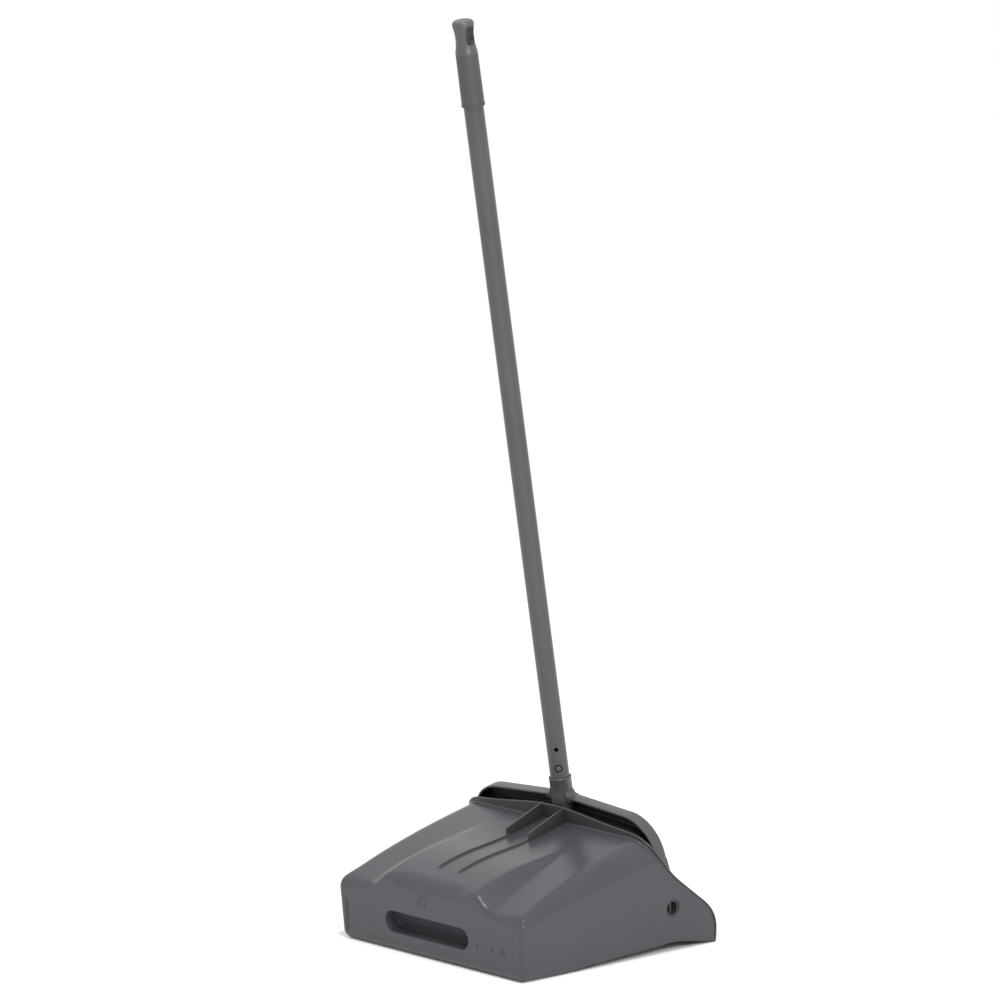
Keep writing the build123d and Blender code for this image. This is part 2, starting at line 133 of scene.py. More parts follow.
def top_at(x, y):
    """Height of the hood, with its raised middle."""
    plateau = np.polyval(plateau_fit, y)
    side = plateau + PLATEAU_SLOPE * (PLATEAU_HALF - np.abs(x))
    raised = smooth_min(plateau, side, PLATEAU_EDGE)
    return smooth_max(hood_at(y), raised, PLATEAU_FOOT)


def half_at(y, z):
    """Half width of the outside at a depth and height."""
    u = (BACK_Y - y) / DEPTH
    low = BACK_HALF_LOW + (LIP_HALF_LOW - BACK_HALF_LOW) * u
    high = BACK_HALF_HIGH + (LIP_HALF_HIGH - BACK_HALF_HIGH) * u
    return low + (high - low) * np.minimum(z / hood_at(y), 1.0) - LIFT


def back_at(z):
    return BACK_Y - LIFT - BACK_LEAN * np.clip(1 - z / LEAN_HEIGHT, 0, 1.2)


def under_at(y):
    """Height of the underside."""
    line = np.interp(y, [LIP_Y, CROWN_Y, FLAT_END_Y], [0.0, CROWN_HEIGHT, 0.0])
    front = (y - LIP_Y) * CROWN_HEIGHT / (CROWN_Y - LIP_Y)
    rear = (FLAT_END_Y - y) * CROWN_HEIGHT / (FLAT_END_Y - CROWN_Y)
    crown = smooth_min(front, rear, CROWN_BLEND)
    return np.where(y > FLAT_END_Y, 0.0, np.maximum(np.minimum(crown, line), 0.0))


def floor_at(y):
    """Height of the floor's upper face."""
    thick = np.interp(y, [LIP_Y, CROWN_Y], [LIP_EDGE, WALL])
    return under_at(y) + thick


def joined(a, b, r):
    """Two half spaces meeting in an edge rounded to r."""
    r = np.maximum(r, 0.05)
    return np.minimum(-r, np.maximum(a, b)) + np.hypot(np.maximum(r + a, 0), np.maximum(r + b, 0))


def outside(x, y, z, inset):
    """Distance outside the hood's skin; inset moves the skin inwards."""
    side = np.abs(x) - half_at(y, z) + inset
    back = y - back_at(z) + inset
    upright = joined(side, back, REAR_ROUND - inset)
    top = (z - top_at(x, y)) * HOOD_TILT + inset
    near_side = step(-20, 20, side - back)
    rear = REAR_TOP_ROUND + REAR_MIDDLE_SOFTER * (1 - step(*REAR_MIDDLE, np.abs(x)))
    rear += REAR_CORNER_SOFTER * step(*REAR_CORNER, np.abs(x))
    edge = rear + (np.interp(y, round_y, round_r) - rear) * near_side
    body = joined(upright, top, np.maximum(edge - inset, 0.5))
    if inset:
        return joined(body, floor_at(y) - z, 3.0)
    foot = FOOT_ROUND + FOOT_SOFTER * step(*FOOT_GROWS, y)
    return joined(body, under_at(y) - z, foot)


CORE = 34.0  # rays start at least this far inside the skin
CORE_LOW = 16.0  # or this far above the floor


def on_skin(x, y, z, inset):
    """Moves points along rays from the middle of the pan onto its skin."""
    h = top_at(x, y)
    low_z = under_at(y) + CORE_LOW
    cx = np.clip(x, -(half_at(y, z) - CORE), half_at(y, z) - CORE)
    cy = np.minimum(y, BACK_Y - BACK_LEAN - CORE)
    cz = np.clip(z, np.minimum(low_z, h - CORE), np.maximum(h - CORE, low_z))
    a = np.zeros_like(x)
    b = np.full_like(x, 1.3)
    for _ in range(34):
        m = (a + b) / 2
        out = outside(cx + (x - cx) * m, cy + (y - cy) * m, cz + (z - cz) * m, inset) > 0
        b = np.where(out, m, b)
        a = np.where(out, a, m)
    m = (a + b) / 2
    return np.stack([cx + (x - cx) * m, cy + (y - cy) * m, cz + (z - cz) * m], -1)


ACROSS = 132  # cells across the pan
UP = 44  # cells up its walls
ALONG = 84  # coarse cells from the back to the mouth
NEAR_MOUTH = [8.0, 6.6, 5.4, 4.6, 4.1, 3.7, 3.3, 2.6, 1.6, 0.7, 0.25, 0.0]  # rows close to the mouth's edge


def along(z):
    """The mouth's edge at a height, and how much its slope stretches the rows next to it."""
    front = mouth_at(z)
    slope = (mouth_at(z + 2) - mouth_at(z - 2)) / 4
    stretch = np.sqrt(1 + np.minimum(slope, 1.4) ** 2)
    return front, stretch


COARSE_END = 10.0  # the coarse cells stop this far from the mouth's edge
edge_gap = np.concatenate([np.full(ALONG + 1, COARSE_END), NEAR_MOUTH])
t_all = np.concatenate([np.linspace(0, 1, ALONG + 1), np.ones(len(NEAR_MOUTH))])


def depth_rows(z_end):
    """y of every row, where z_end is the height at which each column meets the mouth."""
    front, stretch = along(z_end)
    near = front + edge_gap[:, None] * stretch
    return BACK_Y + (near - BACK_Y) * t_all[:, None]


def grid_normals(p):
    """Outward normals of a patch's points."""
    du = np.gradient(p, axis=0)
    dv = np.gradient(p, axis=1)
    n = np.cross(du, dv)
    n /= np.maximum(np.linalg.norm(n, axis=-1, keepdims=True), 1e-9)
    middle = np.array([0, 0, 40.0])
    flip = np.sum(n * (p - middle), -1, keepdims=True) < 0
    return np.where(flip, -n, n)


def wall_patch(side, inset):
    """Rows run from the back to the mouth, columns from the floor to the shoulder."""
    r = np.linspace(0, 1, UP + 1)
    z_end = r * RIM_HEIGHT
    for _ in range(5):
        y = depth_rows(z_end)
        u = np.clip((BACK_Y - y) / (BACK_Y - y[-1:]), 0, 1)
        y_end = y[-1]
        r_end = np.clip((r * RIM_HEIGHT - under_at(y_end)) / (hood_at(y_end) - under_at(y_end)), 0, 1)
        share = r + (r_end - r) * u
        z = under_at(y) + share * (hood_at(y) - under_at(y))
        x = side * half_at(y, z)
        p = on_skin(x, y, z, inset)
        z_end = p[-1, :, 2]
    return p


def top_patch(inset):
    """Rows run from the back to the rim, columns across from -X to +X."""
    s = np.linspace(-1, 1, ACROSS + 1)
    z_end = np.full(ACROSS + 1, RIM_HEIGHT)
    for _ in range(5):
        y = depth_rows(z_end)
        x = s[None, :] * half_at(y, hood_at(y))
        p = on_skin(x, y, top_at(x, y), inset)
        z_end = p[-1, :, 2]
    return p


def bottom_patch(inset):
    """Rows run from the back to the lip, columns across from -X to +X."""
    s = np.linspace(-1, 1, ACROSS + 1)
    y = depth_rows(np.zeros(ACROSS + 1))
    x = s[None, :] * half_at(y, under_at(y))
    return on_skin(x, y, under_at(y), inset)


def back_patch(inset):
    """Rows run from the floor to the top, columns across from -X to +X."""
    s = np.linspace(-1, 1, ACROSS + 1)[None, :]
    r = np.linspace(0, 1, UP + 1)[:, None]
    y = np.full((UP + 1, ACROSS + 1), BACK_Y)
    x = s * half_at(y, np.full_like(y, 1.0) * hood_at(BACK_Y) * r)
    z = r * top_at(x, y)
    return on_skin(x, y, z, inset)


class Builder:
    """Collects vertices and faces; equal points are merged at the end."""

    def __init__(self):
        self.verts = []
        self.faces = []

    def add(self, points):
        start = len(self.verts)
        self.verts.extend(np.asarray(points).reshape(-1, 3).tolist())
        return start

    def grid(self, points, skip=None):
        """Joins a patch of points, leaving out a block of cells."""
        rows, cols = points.shape[:2]
        start = self.add(points)
        for i in range(rows - 1):
            for j in range(cols - 1):
                if skip and skip[0] <= i < skip[1] and skip[2] <= j < skip[3]:
                    continue
                a = start + i * cols + j
                self.faces.append((a, a + 1, a + cols + 1, a + cols))

    def rings(self, loops, cap=False):
        """Joins closed loops of equal length, one after another."""
        n = len(loops[0])
        starts = [self.add(loop) for loop in loops]
        for a, b in zip(starts, starts[1:]):
            for i in range(n):
                k = (i + 1) % n
                self.faces.append((a + i, a + k, b + k, b + i))
        if cap:
            self.faces.append(tuple(starts[-1] + i for i in range(n)))

    def strip(self, first, second):
        """Joins two open lines of equal length."""
        a, b = self.add(first), self.add(second)
        for i in range(len(first) - 1):
            self.faces.append((a + i, a + i + 1, b + i + 1, b + i))

    def finish(self, name, smooth_angle, merge=0.01, shades=None):
        """Makes the object; shades gives the material slot of every face."""
        mesh = bpy.data.meshes.new(name)
        mesh.from_pydata([[c * MM for c in v] for v in self.verts], [], self.faces)
        if shades:
            mesh.polygons.foreach_set("material_index", [int(k) for k in shades])
        return finished(mesh, name, smooth_angle, merge)


def finished(mesh, name, smooth_angle, merge=0.01):
    """Cleans a new mesh, turns its faces outwards and makes its object."""
    bm = bmesh.new()
    bm.from_mesh(mesh)
    bmesh.ops.remove_doubles(bm, verts=bm.verts, dist=merge * MM)
    bmesh.ops.dissolve_degenerate(bm, edges=bm.edges, dist=1e-7)
    bmesh.ops.recalc_face_normals(bm, faces=bm.faces)
    bm.to_mesh(mesh)
    bm.free()
    mesh.polygons.foreach_set("use_smooth", [True] * len(mesh.polygons))
    mesh.set_sharp_from_angle(angle=math.radians(smooth_angle))
    obj = bpy.data.objects.new(name, mesh)
    bpy.context.scene.collection.objects.link(obj)
    return obj


def block_loop(points, block):
    """The boundary of a block of cells, as one closed loop of points."""
    i0, i1, j0, j1 = block
    loop = [points[i0, j] for j in range(j0, j1)] + [points[i, j1] for i in range(i0, i1)]
    loop += [points[i1, j] for j in range(j1, j0, -1)] + [points[i, j0] for i in range(i1, i0, -1)]
    return np.array(loop)


def block_around(points, low, high, axes):
    """Cells of a patch that cover a rectangle given in two of the axes."""
    a = points[..., axes[0]]
    b = points[..., axes[1]]
    inside = (a > low[0]) & (a < high[0]) & (b > low[1]) & (b < high[1])
    i, j = np.where(inside)
    return i.min() - 1, i.max() + 1, j.min() - 1, j.max() + 1


def stadium_near(q, centre, half_length, radius):
    """For points round a stadium: the nearest point of its middle line, and the way out from it."""
    core = np.clip(q[:, 0], centre[0] - half_length + radius, centre[0] + half_length - radius)
    middle = np.stack([core, np.full(len(q), centre[1])], -1)
    out = q - middle
    out /= np.maximum(np.linalg.norm(out, axis=-1, keepdims=True), 1e-9)
    return middle, out


# Finger slot: a pocket in the back wall.
SLOT_MIDDLE = (6.5, 33.7)
SLOT_HALF = 67.5
SLOT_ROUND = 12.0
SLOT_DEPTH = 17.0
SLOT_LIP = 1.4
SLOT_DRAFT = 0.3  # the pocket narrows by this much, and
SLOT_FLOOR_ROUND = 3.0  # its floor has this rounding
SLOT_DEEPER = 0.3  # share of the depth by which its lower edge is deeper than its middle
PIN_HOLE = 10.0
HOLE_LIP = 0.8


def slot_loops(patch, block, radius, half_length, depth, lip, inset):
    """Loops from a block of the back wall down into the finger pocket."""
    edge = block_loop(patch, block)
    middle, out = stadium_near(edge[:, [0, 2]], SLOT_MIDDLE, half_length, radius)

    def loop(r, y_from_wall):
        q = middle + out * r
        deeper = 1.0 - SLOT_DEEPER * (q[:, 1] - SLOT_MIDDLE[1]) / SLOT_ROUND
        y = back_at(q[:, 1]) - inset - y_from_wall * np.where(y_from_wall > 4, deeper, 1.0)
        return np.stack([q[:, 0], y, q[:, 1]], -1)

    reach = np.linalg.norm(edge[:, [0, 2]] - middle, axis=-1)
    loops = [edge]
    for share in (0.25, 0.5, 0.75, 1.0):
        r = reach + (radius + lip - reach) * share
        loops.append(loop(r[:, None], 0.0))
    for angle in (22.5, 45.0, 67.5, 90.0):
        a = math.radians(angle)
        loops.append(loop(radius + lip * (1 - math.sin(a)), lip * (1 - math.cos(a))))
    wall, start = radius - SLOT_DRAFT, depth - SLOT_FLOOR_ROUND
    for angle in (0.0, 30.0, 60.0, 90.0):
        a = math.radians(angle)
        into = SLOT_FLOOR_ROUND * (1 - math.cos(a))
        loops.append(loop(wall - into, start + SLOT_FLOOR_ROUND * math.sin(a)))
    loops.append(loop(radius * 0.4, depth))
    loops.append(loop(0.6, depth))
    return loops


def hole_loops(patch, block, side, outer):
    """Loops from a block of a side wall into the hinge pin's hole."""
    edge = block_loop(patch, block)
    q = edge[:, [1, 2]] - PIVOT[[1, 2]]
    reach = np.linalg.norm(q, axis=-1)
    out = q / reach[:, None]

    def loop(r, sunk):
        yz = PIVOT[[1, 2]] + out * r
        x = half_at(yz[:, 0], yz[:, 1])
        x = x - sunk if outer else x - WALL + sunk
        return np.stack([side * x, yz[:, 0], yz[:, 1]], -1)

    loops = [edge]
    for share in (0.4, 0.75, 1.0):
        loops.append(loop((reach + (PIN_HOLE + HOLE_LIP - reach) * share)[:, None], 0.0))
    for angle in (30.0, 60.0, 90.0):
        a = math.radians(angle)
        loops.append(loop(PIN_HOLE + HOLE_LIP * (1 - math.sin(a)), HOLE_LIP * (1 - math.cos(a))))
    return loops


def build_pan():
    """The pan's closed shell, and the line, normals and inward way along the mouth's edge."""
    pan = Builder()
    rims = []
    hole_ends = {}
    for inset in (0.0, WALL):
        outer = inset == 0.0
        walls = {side: wall_patch(side, inset) for side in (-1, 1)}
        top, bottom, back = top_patch(inset), bottom_patch(inset), back_patch(inset)
        # The shared edges are made exactly equal.
        top[:, 0], top[:, -1] = walls[-1][:, -1], walls[1][:, -1]
        bottom[:, 0], bottom[:, -1] = walls[-1][:, 0], walls[1][:, 0]
        back[:, 0], back[:, -1] = walls[-1][0], walls[1][0]
        back[-1], back[0] = top[0], bottom[0]
        if outer:
            parts = [(walls[-1], slice(None)), (top, slice(1, -1)), (walls[1], slice(None, None, -1))]
            edge_lines = [
                np.concatenate([p[-1][cut] for p, cut in parts]),
                np.concatenate([grid_normals(p)[-2][cut] for p, cut in parts]),
                np.concatenate([(p[-5] - p[-1])[cut] for p, cut in parts]),
            ]
        for side in (-1, 1):
            patch = walls[side]
            reach = PIN_HOLE + 4.5
            block = block_around(patch, PIVOT[1:] - reach, PIVOT[1:] + reach, (1, 2))
            pan.grid(patch, skip=block)
            loops = hole_loops(patch, block, side, outer)
            pan.rings(loops)
            hole_ends.setdefault(side, []).append(loops[-1])
        pan.grid(top)
        pan.grid(bottom)
        r, half, depth, lip = (
            (SLOT_ROUND, SLOT_HALF, SLOT_DEPTH, SLOT_LIP)
            if outer
            else (SLOT_ROUND + WALL, SLOT_HALF + WALL, SLOT_DEPTH, 2.0)
        )
        low = np.array([SLOT_MIDDLE[0] - half - lip - 2, SLOT_MIDDLE[1] - r - lip - 2])
        high = np.array([SLOT_MIDDLE[0] + half + lip + 2, SLOT_MIDDLE[1] + r + lip + 2])
        block = block_around(back, low, high, (0, 2))
        pan.grid(back, skip=block)
        pan.rings(slot_loops(back, block, r, half, depth, lip, inset), cap=True)
        rims.append(np.concatenate([walls[1][-1], top[-1][::-1], walls[-1][-1][::-1], bottom[-1]]))
    # The mouth's edge joins the two skins.
    outer_rim, inner_rim = rims
    middle = (outer_rim + inner_rim) / 2
    pan.strip(outer_rim, middle)
    pan.strip(middle, inner_rim)
    for side in (-1, 1):
        pan.rings(hole_ends[side])
    return pan.finish("pan_shell", smooth_angle=40), edge_lines


pan_shell, edge_lines = build_pan()


# ---------------------------------------------------------------- flange, fins and ribs on the hood
FLANGE_FACE_Y = -42.4
RIM_THICK = 2.4
RIM_SETBACK = 0.35  # the rim starts this far behind the mouth's edge
RIM_ROOT = -1.3  # and is rooted this far under the skin
RIM_STEPS = 520
FLANGE_TOP = 149.4
# How far the rim stands above the skin: (distance from the middle along the mouth's edge, rise).
RIM_RISE = [
    (0.0, 18.6), (17.0, 18.2), (34.0, 16.8), (80.0, 10.8), (104.0, 8.0), (118.0, 6.8), (132.0, 5.8),
    (146.0, 4.6), (162.0, 3.0), (180.0, 1.9), (215.0, 1.6), (600.0, 1.6),
]


def build_rim(path, normals, inward):
    """The flange that stands on the hood's edge and runs on, as a bead, down the ears to the lip."""
    gaps = np.linalg.norm(np.diff(path, axis=0), axis=1)
    run = np.concatenate([[0], np.cumsum(gaps)])
    at = np.linspace(0, run[-1], RIM_STEPS)

    def spread(values):
        out = np.stack([np.interp(at, run, values[:, k]) for k in range(3)], -1)
        for k in range(3):
            out[:, k] = np.convolve(np.pad(out[:, k], 5, mode="edge"), np.ones(11) / 11, mode="valid")
        return out / np.linalg.norm(out, axis=1, keepdims=True)

    line = np.stack([np.interp(at, run, path[:, k]) for k in range(3)], -1)
    n, t = spread(normals), spread(inward)
    from_middle = np.abs(at - run[-1] / 2)
    rise_at, rise = np.array(RIM_RISE).T
    rise = np.interp(from_middle, rise_at, rise)
    rise = np.convolve(np.pad(rise, 6, mode="edge"), np.ones(13) / 13, mode="valid")
    rise *= 0.15 + 0.85 * step(1.0, 9.0, line[:, 2])
    r = RIM_THICK / 2
    flange = Builder()
    loops = []
    for point, out, back, up in zip(line, n, t, rise):
        bend = min(r, up * 0.6)
        ring = [(RIM_SETBACK, RIM_ROOT), (RIM_SETBACK, up - bend)]
        for degrees in (25, 50, 75, 90, 105, 130, 155):
            a = math.radians(degrees)
            ring.append((RIM_SETBACK + r - r * math.cos(a), up - bend * (1 - math.sin(a))))
        rear = RIM_SETBACK + RIM_THICK
        ring.append((rear, up - bend))
        foot = min(1.6, up * 0.3)
        for degrees in (0, 30, 60, 90):
            a = math.radians(degrees)
            ring.append((rear + foot * (1 - math.cos(a)), foot * (1 - math.sin(a))))
        ring.append((rear + foot, RIM_ROOT))
        loops.append(np.array([point + back * a + out * h for a, h in ring]))
    flange.rings(loops, cap=True)
    flange.faces.append(tuple(range(len(ring)))[::-1])
    return flange.finish("pan_rim", smooth_angle=50)


def pulled(name, outline, move, edge=0.0, segments=2, smooth_angle=35.0):
    """A flat outline pulled along a vector into a solid, with its edges rounded."""
    mesh = bpy.data.meshes.new(name)
    bm = bmesh.new()
    face = bm.faces.new([bm.verts.new([c * MM for c in point]) for point in outline])
    result = bmesh.ops.extrude_face_region(bm, geom=[face])
    moved = [v for v in result["geom"] if isinstance(v, bmesh.types.BMVert)]
    bmesh.ops.translate(bm, vec=[c * MM for c in move], verts=moved)
    if edge:
        bmesh.ops.bevel(
            bm,
            geom=list(bm.edges),
            offset=edge * MM,
            segments=segments,
            profile=0.5,
            affect="EDGES",
            clamp_overlap=True,
        )
    bm.to_mesh(mesh)
    bm.free()
    return finished(mesh, name, smooth_angle)


FIN_X = 18.0
FIN_HALF = 1.1
FIN_BACK_Y = 14.6
FIN_BACK_TOP = 127.0
RIB_X = 16.5
RIB_END_Y = 120.6
pan_pieces = [pan_shell, build_rim(*edge_lines)]
for side, word in ((-1, "right"), (1, "left")):
    outline = [
        (FIN_BACK_Y, 112.5),
        (FIN_BACK_Y, FIN_BACK_TOP),
        (FLANGE_FACE_Y + 1.0, FLANGE_TOP - 0.8),
        (FLANGE_FACE_Y + 1.0, 127.0),
    ]
    near = side * FIN_X - FIN_HALF
    outline = [(near, y, z) for y, z in outline]
    move = (2 * FIN_HALF, 0, 0)
    pan_pieces.append(pulled("fin_" + word, outline, move, edge=0.5, segments=3, smooth_angle=50))


def build_rib(side, word):
    """A low rib that follows the raised middle of the hood and slopes into it at the back."""
    even, end = np.linspace(FIN_BACK_Y - 4, RIB_END_Y - 6, 60), np.linspace(RIB_END_Y - 5.6, RIB_END_Y, 12)
    section = [(-1.9, -0.8), (-1.6, 0.1), (-1.2, 0.5), (-1.05, 1.6), (-0.8, 2.2), (-0.3, 2.4)]
    section += [(-a, b) for a, b in section[::-1]]
    rib = Builder()
    loops = []
    for y in np.concatenate([even, end]):
        rise = step(RIB_END_Y + 0.2, RIB_END_Y - 5.0, y) if y > RIB_END_Y - 5 else 1.0
        x = side * RIB_X
        base = float(top_at(np.array(x), np.array(y)))
        loops.append(np.array([(x + a, y, base + (b * rise if b > 0 else b) - 0.1) for a, b in section]))
    rib.rings(loops, cap=True)
    rib.faces.append(tuple(range(len(section)))[::-1])
    return rib.finish("rib_" + word, smooth_angle=60)


for side, word in ((-1, "right"), (1, "left")):
    pan_pieces.append(build_rib(side, word))

# ---------------------------------------------------------------- plain moulded marks on the back wall
MARK_RISE = 0.6
MARK_STEPS = [(0.25, -0.6), (0.12, 0.55 * MARK_RISE), (-0.1, MARK_RISE)]  # (how much wider, how far out)


def mark(name, bars, middle):
    """Raised bars on the back wall: each is (x, z, length, width, degrees), round the middle."""
    raised = Builder()
    for x, z, length, width, degrees in bars:
        a = math.radians(degrees)
        along_bar = np.array([math.cos(a), math.sin(a)])
        across_bar = np.array([-math.sin(a), math.cos(a)])
        loops = []
        for grow, out in MARK_STEPS:
            loop = []
            for u, v in ((-1, -1), (1, -1), (1, 1), (-1, 1)):
                q = np.array([middle[0] + x, middle[1] + z])
                q = q + along_bar * u * (length / 2 + grow) + across_bar * v * (width / 2 + grow)
                loop.append((q[0], float(back_at(q[1])) + out, q[1]))
            loops.append(np.array(loop))
        start = len(raised.verts)
        raised.rings(loops, cap=True)
        raised.faces.append((start + 3, start + 2, start + 1, start))
    return raised.finish(name, smooth_angle=30)


triangle = []
for turn in (90, 210, 330):
    a = math.radians(turn)
    triangle.append((5.0 * math.cos(a + math.pi), 5.0 * math.sin(a + math.pi), 8.0, 2.4, turn + 90))
    triangle.append((6.6 * math.cos(a), 6.6 * math.sin(a), 2.6, 2.4, turn + 45))
pan_pieces.append(mark("mark_triangle", triangle, (13.0, 63.6)))
pan_pieces.append(mark("mark_cross", [(0, 0, 6.0, 1.1, 90), (0, 1.2, 3.4, 1.1, 0)], (-76.0, 30.5)))
star = [(0, 0, 5.6, 1.0, d) for d in (0, 60, 120)]
pan_pieces.append(mark("mark_star", star, (-99.0, 30.5)))
window = [(0, z, 4.6, 1.0, 0) for z in (-3.4, 0.0, 3.4)] + [(x, 0, 7.8, 1.0, 90) for x in (-2.1, 2.1)]
pan_pieces.append(mark("mark_window", window, (-117.0, 30.5)))
frame_bars = [(13.5, 0, 40.0, 0.7, 90), (10.5, 0, 34.0, 0.7, 90)]
pan_pieces.append(mark("label_frame", frame_bars, (126.0, 29.0)))
for piece in pan_pieces:
    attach(piece, "pan")
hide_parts("pan")

# ---------------------------------------------------------------- the yoke
ARM_LEAN = 13.3
ARM_OUTER = lengths("yoke")[1][0]
BAND = 20.0
BAND_DEPTH = 15.0
CHANNEL_WALL = 2.5
CROSSBAR_MIDDLE = 104.5
CROSSBAR_DROP = 10.0
SHOULDER_RADIUS = 36.5
EYE_RADIUS = 14.5
EYE_EDGE = 0.9
PIN_RADIUS = 9.95
PIN_LEAD = 0.4  # the pin's hole is opened up by this much at its ends
TAPER_HIGH = 58.0  # the arm's front comes in from the eye to the band up to this height
ARM_WIDER = 0.25  # share by which the channel is deeper at the eye
ARM_WIDER_UP_TO = (30, 72)
lean = math.radians(ARM_LEAN)
UP_YOKE = np.array([0, math.sin(lean), math.cos(lean)])
FRONT_YOKE = np.array([0, -math.cos(lean), math.sin(lean)])
arm_middle = ARM_OUTER - BAND / 2


def in_yoke(x, s, d):
    """A point of the yoke: across, up along it from the hinge line, and out of its front."""
    return np.array([x, PIVOT[1], PIVOT[2]]) + UP_YOKE * s + FRONT_YOKE * d


BAND_START = 11.5  # the channel starts at this height above the hinge line, inside the eye


def band_path():
    """Middle line of the bent band with its outward direction, from the -X eye to the +X eye."""
    shoulder = CROSSBAR_MIDDLE - CROSSBAR_DROP
    slope = math.atan2(CROSSBAR_DROP, arm_middle)
    turn = math.pi / 2 - slope
    cut = SHOULDER_RADIUS * math.tan(turn / 2)
    centre = np.array([arm_middle - SHOULDER_RADIUS, shoulder - cut])
    straight = np.linspace(BAND_START, shoulder - cut, 16)
    points = [(np.array([arm_middle, s]), np.array([1.0, 0.0])) for s in straight]
    for a in np.linspace(0, turn, 26)[1:]:
        out = np.array([math.cos(a), math.sin(a)])
        points.append((centre + out * SHOULDER_RADIUS, out))
    end, out = points[-1]
    peak = np.array([0.0, CROSSBAR_MIDDLE])
    for t in np.linspace(0, 1, 16)[1:-1]:
        points.append((end + (peak - end) * t, out))
    mirrored = [(p * [-1, 1], n * [-1, 1]) for p, n in points]
    return mirrored + [(peak, np.array([0.0, 1.0]))] + points[::-1]


def rounded_section():
    """The channel's section (outwards, frontwards), open at the back, with rounded edges."""
    h, d, w = BAND / 2, BAND_DEPTH / 2, CHANNEL_WALL
    corners = [
        (h, -d, 0.6), (h, d, 2.6), (-h, d, 2.6), (-h, -d, 0.6),
        (-h + w, -d, 0.6), (-h + w, d - w, 1.6), (h - w, d - w, 1.6), (h - w, -d, 0.6),
    ]
    line = []
    n = len(corners)
    for i, (x, y, r) in enumerate(corners):
        p = np.array([x, y])
        a = np.array(corners[i - 1][:2]) - p
        b = np.array(corners[(i + 1) % n][:2]) - p
        a /= np.linalg.norm(a)
        b /= np.linalg.norm(b)
        centre = p + (a + b) * r
        start = math.atan2(*(p + a * r - centre)[::-1])
        end = math.atan2(*(p + b * r - centre)[::-1])
        sweep = (end - start + math.pi) % (2 * math.pi) - math.pi
        for t in np.linspace(0, 1, 5):
            angle = start + sweep * t
            line.append(centre + r * np.array([math.cos(angle), math.sin(angle)]))
    return np.array(line)


SHADED_INSIDE_FACES = (21, 38)  # first and last face of a ring that look into the channel; they carry painted shade


def build_band():
    """The yoke's bent channel, open at the back; the faces inside it take a near-black material: painted
    shade.
    """
    band = Builder()
    section = rounded_section()
    loops = []
    for p, out in band_path():
        wide = 1.0 + ARM_WIDER * (1 - step(*ARM_WIDER_UP_TO, p[1]))
        ring = []
        for n, d in section:
            x, s = p + out * n
            front = d if d < 0 else d * wide
            ring.append(in_yoke(x, s, front))
        loops.append(np.array(ring))
    band.rings(loops, cap=True)
    band.faces.append(tuple(range(len(section)))[::-1])
    n = len(section)
    first, last = SHADED_INSIDE_FACES
    inside = [first <= k % n <= last for k in range(len(band.faces) - 2)] + [False, False]
    return band.finish("yoke_band", smooth_angle=35, shades=inside)


LATHE_STEPS = 72


def lathe(name, profile, origin, axis):
    """Turns a closed profile of (radius, distance along the axis) round an axis."""
    axis = np.array(axis, float) / np.linalg.norm(axis)
    side = np.cross(axis, [0, 0, 1.0]) if abs(axis[2]) < 0.9 else np.cross(axis, [1.0, 0, 0])
    side /= np.linalg.norm(side)
    other = np.cross(axis, side)
    turned = Builder()
    loops = []
    for k in range(LATHE_STEPS):
        a = 2 * math.pi * k / LATHE_STEPS
        out = side * math.cos(a) + other * math.sin(a)
        loops.append(np.array([origin + out * r + axis * t for r, t in profile]))
    n = len(profile)
    starts = [turned.add(loop) for loop in loops]
    for k in range(LATHE_STEPS):
        first, second = starts[k], starts[(k + 1) % LATHE_STEPS]
        for i in range(n):
            j = (i + 1) % n
            turned.faces.append((first + i, first + j, second + j, second + i))
    return turned.finish(name, smooth_angle=35.0, merge=0.004)


ARM_PROUD = 0.2  # the arm's front stands this far before the band where it ends
ARM_INSET = 0.05  # and its sides this far inside the band's
yoke_pieces = [build_band()]
for side, word in ((-1, "right"), (1, "left")):
    inner, b = ARM_OUTER - BAND, EYE_EDGE
    half_profile = [
        (PIN_RADIUS, PIN_LEAD),
        (PIN_RADIUS + PIN_LEAD, 0.0),
        (EYE_RADIUS - b, 0.0),
        (EYE_RADIUS - 0.3 * b, 0.3 * b),
        (EYE_RADIUS, b),
    ]
    profile = [(r, inner + t) for r, t in half_profile] + [(r, ARM_OUTER - t) for r, t in half_profile[::-1]]
    centre = np.array([0, PIVOT[1], PIVOT[2]])
    yoke_pieces.append(lathe("yoke_eye_" + word, profile, centre, (side, 0, 0)))
    # The arm's front, from the eye up to where the band has its full width: (frontwards, up).
    front = [(BAND_DEPTH / 2 - CHANNEL_WALL, TAPER_HIGH), (BAND_DEPTH / 2 + ARM_PROUD, TAPER_HIGH)]
    for degrees, sunk in ((7, 0.0), (0, 1.0), (15, 1.0), (30, 1.0), (45, 1.0), (60, 1.0)):
        a = math.radians(degrees)
        front.append(((EYE_RADIUS - sunk) * math.cos(a), (EYE_RADIUS - sunk) * math.sin(a)))
    outline = [in_yoke(side * (ARM_OUTER - ARM_INSET), s, d) for d, s in front]
    move = (-side * (BAND - 2 * ARM_INSET), 0, 0)
    yoke_pieces.append(pulled("yoke_arm_" + word, outline, move, edge=0.5))

